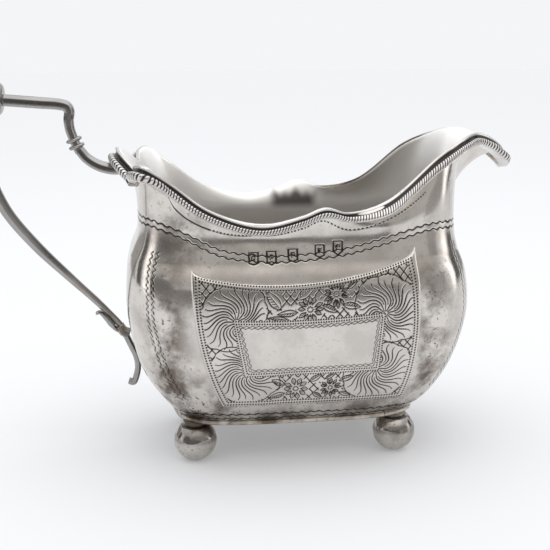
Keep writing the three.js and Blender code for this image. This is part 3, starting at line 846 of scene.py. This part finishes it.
def inside_outline(x, z, outline):
    """True where a place lies inside a closed outline."""
    x, z = np.broadcast_arrays(x, z)
    inside = np.zeros(x.shape, bool)
    for (ax, az), (bx, bz) in zip(outline, np.roll(outline, -1, axis=0)):
        if az == bz:
            continue
        crosses = (az > z) != (bz > z)
        inside ^= crosses & (x < (bx - ax) * (z - az) / (bz - az) + ax)
    return inside


# ---- handle

SIDE_PAINTED_SHADE = 0.32
LEAF_PAINTED_SHADE = 0.06
PAD_TARNISH = 0.15


def strap(name, path, thickness, width, shape, dull, material, slot, nodes, tarnish, steps=120):
    """A strap along a path of x and height.

    shape is its section, across and up, of half size 1, and dull the painted shade of each point of it.
    """
    curve = spaced(through([(px, 0, pz) for px, pz in path]), steps)
    tangent = np.gradient(curve, axis=0)
    tangent = tangent / np.linalg.norm(tangent, axis=1, keepdims=True)
    up = np.stack([-tangent[:, 2], 0 * tangent[:, 0], tangent[:, 0]], axis=1)
    share = np.linspace(0, 1, steps)
    thick, wide = (np.interp(share, np.linspace(0, 1, len(sizes)), sizes) / 2 for sizes in (thickness, width))
    across, upwards = shape.T[..., None, None]
    grid = curve + upwards * (thick[:, None] * up) + across * (wide[:, None] * Y_AXIS)
    points, faces = capped(grid)
    make_piece(name, points, faces, material, nodes, np.repeat(dull, steps), tarnish)


def rounded(corners, radius):
    """A closed polygon with rounded corners, each followed by a point that keeps the next side flat."""
    corners = np.asarray(corners, float)
    points = []
    for before, corner, after in zip(np.roll(corners, 1, axis=0), corners, np.roll(corners, -1, axis=0)):
        start = corner + (before - corner) / np.linalg.norm(before - corner) * radius
        end = corner + (after - corner) / np.linalg.norm(after - corner) * radius
        for t in (0, 0.25, 0.5, 0.75, 1):
            points.append(start * (1 - t) ** 2 + 2 * corner * t * (1 - t) + end * t**2)
        points.append(end + (after - corner) * 0.02)
    return np.array(points)


OCTAGON = rounded([
    (1, 0.42), (0.5, 1), (-0.5, 1), (-1, 0.42), (-1, -0.42), (-0.5, -1), (0.5, -1), (1, -0.42),
], 0.12)
RIDGED = rounded([(1, 0.05), (0.45, 1), (-0.45, 1), (-1, 0.05), (-0.6, -1), (0.6, -1)], 0.1)
# Painted shade: the flat sides of the one and the top of the other are darker than the edges.
OCTAGON_SHADED_FACES = np.abs(OCTAGON[:, 0]) > 0.95
RIDGED_SHADED_FACES = RIDGED[:, 1] > 0.5
ARM_PATH = [
    (-61.6, 91.6), (-62.5, 93.6), (-63.4, 96.0), (-64.1, 98.4), (-64.3, 101.0), (-64.0, 103.2),
    (-64.6, 104.7), (-66.6, 105.4), (-72, 105.9), (-82.2, 106.8),
]
ROOT_PATH = [(-48.6, 86.6), (-52.5, 86.5), (-56.3, 87.5), (-59.6, 89.6), (-61.8, 92.3)]
SWEEP_PATH = [
    (-86.8, 107.3), (-90.0, 106.1), (-91.0, 102.6), (-90.6, 95), (-88.2, 85.4), (-83.8, 74.6),
    (-76.2, 64.3), (-66.5, 53.9), (-58.2, 45.4), (-52.6, 39.0), (-51.4, 37.4),
]
LEAF_PATH = [(-59.3, 42.3), (-58.2, 42.6), (-56.9, 41.6), (-55.2, 39.4), (-53.9, 37.6), (-52.9, 36.6)]
PAD_PATH = [(-52.4, 38.2), (-51.3, 36.4), (-49.6, 35.5)]
TAIL_PATH = [
    (-50.6, 35.2), (-48.9, 31.2), (-47.7, 28.2), (-47.3, 25.2), (-47.8, 22.2), (-48.9, 19.8), (-50.3, 20.2),
]
RING_CENTRES = {"lower": (-62.4, 93.2), "upper": (-63.1, 95.1)}
RING_AXIS = (-0.7, 1.9)
RING_SIZE = (2.4, 0.55)  # radius and half thickness
BEAD_CENTRE = (-84.5, 107.2)
BEAD_AXIS = (-1, 0.09)
BEAD_SIZE = (4.9, 2.1)


def turned(outline, around):
    """A surface turned about the Z axis from an outline of radius and height: its grid and faces."""
    radius, height = np.array(outline).T[..., None]
    turn = np.linspace(0, 2 * np.pi, around, endpoint=False)
    grid = np.stack([radius * np.cos(turn), radius * np.sin(turn), height + 0 * turn], axis=-1)
    return grid, closed_ends(len(outline), around)


def closed_ends(rows, around):
    """Faces of a ring-shaped grid, and a flat face over its first and last ring."""
    ring = np.arange(around)[None]
    return [grid_quads(rows, around, closed_columns=True), ring[:, ::-1], (rows - 1) * around + ring]


def disc_on_handle(name, size, centre, direction, material, nodes, around=64):
    """A disc with a round edge, its axis in the middle plane."""
    radius, half = size
    turns = np.linspace(-np.pi / 2, np.pi / 2, 17)
    edge = [(radius - half + half * math.cos(turn), half * math.sin(turn)) for turn in turns]
    grid, faces = turned([(0.3, -half), *edge, (0.3, half)], around)
    axis = np.array((direction[0], 0, direction[1])) / math.hypot(*direction)
    side = np.array((-axis[2], 0, axis[0]))
    points = (centre[0], 0, centre[1]) + grid @ np.stack([side, Y_AXIS, axis])
    make_piece(name, points, faces, material, nodes)


def build_handle(silver, dull):
    # Painted shade on the flat sides and tops of the straps.
    flat = SIDE_PAINTED_SHADE * OCTAGON_SHADED_FACES
    faint_shade = LEAF_PAINTED_SHADE * OCTAGON_SHADED_FACES
    ridged_shade = SIDE_PAINTED_SHADE * RIDGED_SHADED_FACES
    bright = (silver, "handle_silver")
    soldered = (dull, "tarnished_silver")
    for name, path, thickness, width, shape, marks, finish, nodes, tarnish in (
        ("socket", ROOT_PATH, (3.4, 2.9), (6.2, 3.6), OCTAGON, flat, bright, ["root"], 0),
        ("arm", ARM_PATH, (2.7, 2.8, 3.2, 3.3, 3.3), (3.6, 3.8, 4.4, 4.8, 4.8), OCTAGON, flat, bright,
         ["riser", "top_bar"], 0),
        ("grip", SWEEP_PATH, (3.3, 3.3, 3.1, 2.8, 2.0, 1.6), (4.8, 4.0, 3.2), RIDGED, ridged_shade, bright,
         ["sweep"], 0),
        ("leaf_tip", LEAF_PATH, (0.7, 1.6, 1.9, 1.0), (3.0, 3.6, 3.0), OCTAGON, faint_shade, bright, ["leaf"], 0),
        ("solder", PAD_PATH, (2.6, 3.0), (4.0, 4.0), OCTAGON, flat, soldered, ["pad"], PAD_TARNISH),
        ("scroll", TAIL_PATH, (1.9, 1.9), (3.4, 2.4), OCTAGON, faint_shade, bright, ["tail"], 0),
    ):
        nodes = [f"handle_{node}" for node in nodes]
        strap(f"handle_{name}", path, thickness, width, shape, marks, *finish, nodes, tarnish)
    for name, centre in RING_CENTRES.items():
        disc_on_handle(f"handle_collar_{name}", RING_SIZE, centre, RING_AXIS, silver, [f"handle_ring_{name}"])
    disc_on_handle("handle_knop", BEAD_SIZE, BEAD_CENTRE, BEAD_AXIS, silver, ["handle_bead"])


# ---- feet and base

FOOT_RADIUS = 6.4
FOOT_FLAT = 1.8
FOOT_TOP = 10.9
COLLAR_TOP = 12.2
FOOT_BUMP = 0.05
FOOT_SHADE = 0.2  # darker upper halves
BASE_FLANGE = 0.5
BASE_TARNISH = 0.5


def build_foot(place, silver, dull):
    """A ball and the neck above it. place is the end and side of the jug."""
    low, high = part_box(f"foot_ball_{place}")
    centre = np.array([(low.x + high.x) / 2 / MM - FEET_X, (low.y + high.y) / 2 / MM, 0])
    middle = math.sqrt(FOOT_RADIUS**2 - FOOT_FLAT**2)
    start = math.atan2(-middle, FOOT_FLAT)
    stop = math.asin((FOOT_TOP - middle) / FOOT_RADIUS)
    rise = np.linspace(start, stop, 60)
    ball = [(FOOT_RADIUS * math.cos(a), middle + FOOT_RADIUS * math.sin(a)) for a in rise]
    neck = [(3.3, FOOT_TOP + 0.05), (3.1, FOOT_TOP + 0.5), (3.5, COLLAR_TOP + 0.2)]
    for name, outline, bump, finish, slot, node, grime in (
        ("ball_foot", ball, FOOT_BUMP, silver, "feet_silver", "foot_ball", 0.35),
        ("foot_neck", neck, 0, dull, "tarnished_silver", "foot_collar", 0.8),
    ):
        grid, faces = turned(outline, 80)
        height = grid[..., 2]
        turn = np.linspace(0, 2 * np.pi, grid.shape[1], endpoint=False)
        uneven = bump / FOOT_RADIUS * np.sin(3 * turn + centre[0]) * np.sin(2.2 * height)
        grid[..., :2] *= (1 + uneven)[..., None]
        shade = FOOT_SHADE * smoothstep(height, 5.8, 7.2)
        make_piece(f"{name}_{place}", grid + centre, faces, finish, [f"{node}_{place}"],
                   shade, grime + 0.3 * smoothstep(height, 6, 11))


def build_base(material):
    angles = section_angle(rim_loop)
    ring = section(angles, np.zeros(len(angles))) * (1, 1, 0)
    out = ring / np.linalg.norm(ring, axis=1)[:, None]
    low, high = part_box("base_plate")
    bottom, top = low.z / MM, high.z / MM
    edge = [
        (-8.0, bottom), (BASE_FLANGE - 0.35, bottom), (BASE_FLANGE, bottom + 0.35), (BASE_FLANGE, top - 0.2),
        (BASE_FLANGE - 0.3, top + 0.15), (-0.2, top + 0.35), (-8.0, top + 0.35),
    ]
    grid = np.array([ring + out * reach + Z_AXIS * height for reach, height in edge])
    faces = closed_ends(len(edge), len(ring))
    make_piece("base_flange", grid, faces, material, ["base_plate"], tarnish=BASE_TARNISH)


# ---- materials


LIGHTENED_SILVER = (0.95, 0.94, 0.92, 1)
CUT_AND_SHADE_BLACK = (0.045, 0.04, 0.036, 1)
PATCH_SCALE = 110
SPECK_SCALE = 900


def add_node(tree, kind, inputs, **settings):
    """A shader node's outputs. inputs gives some of its sockets a plain value or another node's output."""
    made = tree.nodes.new(kind)
    for key, value in settings.items():
        setattr(made, key, value)
    for key, value in inputs.items():
        if isinstance(value, bpy.types.NodeSocket):
            tree.links.new(value, made.inputs[key])
        else:
            made.inputs[key].default_value = value
    return made.outputs


def maths(tree, operation, *values, clamp=False):
    inputs = dict(enumerate(values))
    return add_node(tree, "ShaderNodeMath", inputs, operation=operation, use_clamp=clamp)["Value"]


def mixed(tree, factor, first, second):
    """A colour between two others."""
    inputs = {"Factor": factor, "A": first, "B": second}
    return add_node(tree, "ShaderNodeMix", inputs, data_type="RGBA")["Result"]


def noise(tree, place, scale, detail, roughness):
    inputs = {"Vector": place, "Scale": scale, "Detail": detail, "Roughness": roughness}
    return add_node(tree, "ShaderNodeTexNoise", inputs)["Fac"]


def ranged(tree, value, low, high, top=1.0, **settings):
    """0 up to top as a value goes from low to high."""
    inputs = {"Value": value, "From Min": low, "From Max": high, "To Max": top}
    return add_node(tree, "ShaderNodeMapRange", inputs, **settings)["Result"]


def principled(name):
    """A new material, its node tree and its shader's inputs."""
    material = bpy.data.materials.new(name)
    material.use_nodes = True
    return material, material.node_tree, material.node_tree.nodes["Principled BSDF"].inputs


def silver_material(name, colour, dark, roughness, grime=1.0):
    """Old polished silver: soft tarnish, fine wear marks, black left in every cut, painted shade and
    reflection from the mark attribute, and painted light where tarnish is below zero.
    """
    material, tree, surface = principled(name)
    place = add_node(tree, "ShaderNodeTexCoord", {})["Object"]
    mark = add_node(tree, "ShaderNodeAttribute", {}, attribute_name="mark")["Fac"]
    tarnish = add_node(tree, "ShaderNodeAttribute", {}, attribute_name="tarnish")["Fac"]
    patches = noise(tree, place, PATCH_SCALE, 6, 0.6)
    specks = noise(tree, place, SPECK_SCALE, 3, 0.5)
    blotches = maths(tree, "MAXIMUM", ranged(tree, patches, 0.42, 0.62), ranged(tree, specks, 0.6, 0.66, 0.9))
    reach = maths(tree, "MULTIPLY_ADD", tarnish, 1.2, 0.2 * grime)
    amount = maths(tree, "MULTIPLY", blotches, reach, clamp=True)
    painted_light = maths(tree, "MULTIPLY", tarnish, float(PAINTED_LIGHT_TARNISH), clamp=True)
    # The mark attribute gives black in engraved cuts, and painted shade and reflection elsewhere.
    cut = maths(tree, "MULTIPLY", mark, 2.0, clamp=True)
    # Where tarnish is below zero the colour is painted lighter: painted light.
    lightened = mixed(tree, painted_light, (*colour, 1), LIGHTENED_SILVER)
    stained = mixed(tree, amount, lightened, (*dark, 1))
    dulled = maths(tree, "MULTIPLY_ADD", amount, 0.22, roughness)
    satin = maths(tree, "MULTIPLY_ADD", painted_light, 0.36, dulled)
    worn = maths(tree, "MULTIPLY_ADD", specks, 0.08, satin)
    bumps = add_node(tree, "ShaderNodeBump", {"Strength": 0.07, "Distance": 0.0004, "Height": patches})
    surface["Metallic"].default_value = 1.0
    tree.links.new(mixed(tree, cut, stained, CUT_AND_SHADE_BLACK), surface["Base Color"])
    tree.links.new(worn, surface["Roughness"])
    tree.links.new(bumps["Normal"], surface["Normal"])
    return material


# ---- floor, light and camera

TABLE_RADIUS = 4.0  # metres
TABLE_GAP = 0.00005
TABLE_COLOUR = (0.59, 0.598, 0.61)
TABLE_GLOW_COLOUR = (0.97, 0.98, 1.0)
TABLE_GLOW = 0.215


def add_flat(name, material_name, corners, colour, glow_colour, glow, roughness):
    """A flat piece of the studio, dull and faintly or strongly glowing."""
    material, _, surface = principled(material_name)
    surface["Base Color"].default_value = (*colour, 1)
    surface["Emission Color"].default_value = (*glow_colour, 1)
    surface["Emission Strength"].default_value = glow
    surface["Roughness"].default_value = roughness
    surface["Specular IOR Level"].default_value = 0.0
    mesh = bpy.data.meshes.new(name)
    mesh.from_pydata(corners, [], [tuple(range(len(corners)))])
    mesh.materials.append(material)
    piece = add_object(name, mesh)
    return piece


def build_floor():
    turns = [2 * math.pi * k / 96 for k in range(96)]
    ring = [(TABLE_RADIUS * math.cos(turn), TABLE_RADIUS * math.sin(turn), 0) for turn in turns]
    floor = add_flat("table", "pale_table", ring, TABLE_COLOUR, TABLE_GLOW_COLOUR, TABLE_GLOW, 0.9)
    floor.location.z = min(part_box(node)[0].z for node in FOOT_NODES) - TABLE_GAP


# Brightness of the surroundings against the sine of the height above the horizon.
FRONT_SKY = [(0.0, 0.5), (0.16, 0.58), (0.3, 0.52), (0.45, 0.56), (0.62, 1.0), (0.85, 1.55)]
BACK_SKY = [(0.0, 0.92), (0.3, 0.92), (0.6, 1.0), (0.85, 1.5)]
FRONT_TINT = (1.0, 0.97, 0.94)
BACK_TINT = (0.985, 0.993, 1.01)


def sky_ramp(tree, height, stops, tint):
    """The light of one half of the sky at a height."""
    outputs = add_node(tree, "ShaderNodeValToRGB", {"Fac": height})
    ramp = outputs["Color"].node.color_ramp
    ramp.interpolation = "EASE"
    while len(ramp.elements) < len(stops):
        ramp.elements.new(0.5)
    for element, (position, light) in zip(ramp.elements, stops):
        element.position = position
        element.color = (*(light * part for part in tint), 1)
    return outputs["Color"]


def build_world():
    """Soft studio surroundings: bright at the back and above, dimmer where the camera stands."""
    world = bpy.data.worlds.new("studio")
    bpy.context.scene.world = world
    world.use_nodes = True
    tree = world.node_tree
    place = add_node(tree, "ShaderNodeTexCoord", {})["Generated"]
    split = add_node(tree, "ShaderNodeSeparateXYZ", {"Vector": place})
    front = sky_ramp(tree, split["Z"], FRONT_SKY, FRONT_TINT)
    back = sky_ramp(tree, split["Z"], BACK_SKY, BACK_TINT)
    side = ranged(tree, split["Y"], -0.6, -0.1, interpolation_type="SMOOTHSTEP")
    tree.links.new(mixed(tree, side, front, back), tree.nodes["Background"].inputs["Color"])


# Cards that show only in reflections: azimuth from the lip towards the far side in degrees,
# width in degrees, lower and upper height in mm, and brightness.
CARD_DISTANCE = 900
CARD_TINT = (1, 0.97, 0.95)
CARDS = [
    ("dark_card_front", -96, 60, (2, 170), 0.2),
    ("dark_card_left", -142, 34, (2, 380), 0.2),
    ("bright_card_left", -170, 14, (2, 420), 1.9),
    ("dark_card_far_left", 170, 16, (2, 380), 0.1),
    ("grey_card_back_left", 128, 56, (2, 420), 0.42),
    ("dark_card_right", -34, 24, (2, 300), 0.4),
    ("bright_card_right", -8, 14, (2, 420), 1.9),
    ("dark_card_far_right", 12, 16, (2, 380), 0.1),
    ("grey_card_back_right", 42, 20, (2, 400), 0.3),
]


def add_card(name, azimuth, width, height, shade):
    """An upright card standing square to the jug, far out."""
    middle = math.radians(azimuth)
    half = CARD_DISTANCE * math.tan(math.radians(width / 2))
    out = np.array((math.cos(middle), math.sin(middle), 0)) * CARD_DISTANCE
    aside = np.array((-math.sin(middle), math.cos(middle), 0)) * half
    low, high = (np.array((0, 0, level)) for level in height)
    corners = placed([out - aside + low, out + aside + low, out + aside + high, out - aside + high])
    card = add_flat(name, name, corners, (0, 0, 0), [shade * part for part in CARD_TINT], 1.0, 0.5)
    card.visible_camera = False
    card.visible_shadow = False
    card.visible_diffuse = False


LAMP_HEIGHT = 700
LAMP_SIZE = 500
LAMP_POWER = 1.0


def build_lamp():
    """A wide lamp straight above, which lights the table only and firms the shadow under the jug."""
    data = bpy.data.lights.new("overhead_lamp", "AREA")
    data.shape = "DISK"
    data.size = LAMP_SIZE * MM
    data.energy = LAMP_POWER
    lamp = add_object("overhead_lamp", data)
    lamp.location = placed((0, 0, LAMP_HEIGHT))
    lamp.visible_camera = False
    lamp.visible_glossy = False


CAMERA_PLACE = (-36.808, -289.802, 122.860)
CAMERA_TARGET = (-4.25, 0, 52.47)
CAMERA_ROLL = math.radians(-0.4)


def build_camera():
    data = bpy.data.cameras.new("camera")
    data.lens = 63.49
    data.sensor_width = 36
    data.clip_start = 0.01
    data.clip_end = 50
    camera = add_object("camera", data)
    place, target = (Vector(placed(point)) for point in (CAMERA_PLACE, CAMERA_TARGET))
    aim = (target - place).to_track_quat("-Z", "Y")
    camera.location = place
    camera.rotation_mode = "QUATERNION"
    camera.rotation_quaternion = aim @ Quaternion((0, 0, 1), CAMERA_ROLL)
    bpy.context.scene.camera = camera


# ---- the scene

body_silver = silver_material("body_silver", (0.67, 0.64, 0.6), (0.17, 0.14, 0.118), 0.1)
border_silver = silver_material("border_silver", (0.74, 0.72, 0.70), (0.2, 0.18, 0.16), 0.16)
# The handle's silver is a darker copy of the body's: painted shade.
handle_silver = silver_material("handle_silver", (0.38, 0.37, 0.36), (0.17, 0.155, 0.14), 0.16)
# The feet's silver is a darker copy: painted shade under the jug.
feet_silver = silver_material("feet_silver", (0.6, 0.57, 0.535), (0.2, 0.17, 0.15), 0.08)
dull_silver = silver_material("tarnished_silver", (0.6, 0.56, 0.5), (0.2, 0.16, 0.13), 0.3, 2.0)

build_camera()
build_world()
build_floor()
build_lamp()
for card in CARDS:
    add_card(*card)
build_body(body_silver)
build_panels(body_silver)
build_borders(border_silver)
build_handle(handle_silver, dull_silver)
for foot in FOOT_PLACES:
    build_foot(foot, feet_silver, dull_silver)
build_base(dull_silver)

bpy.context.scene.view_settings.view_transform = "Standard"
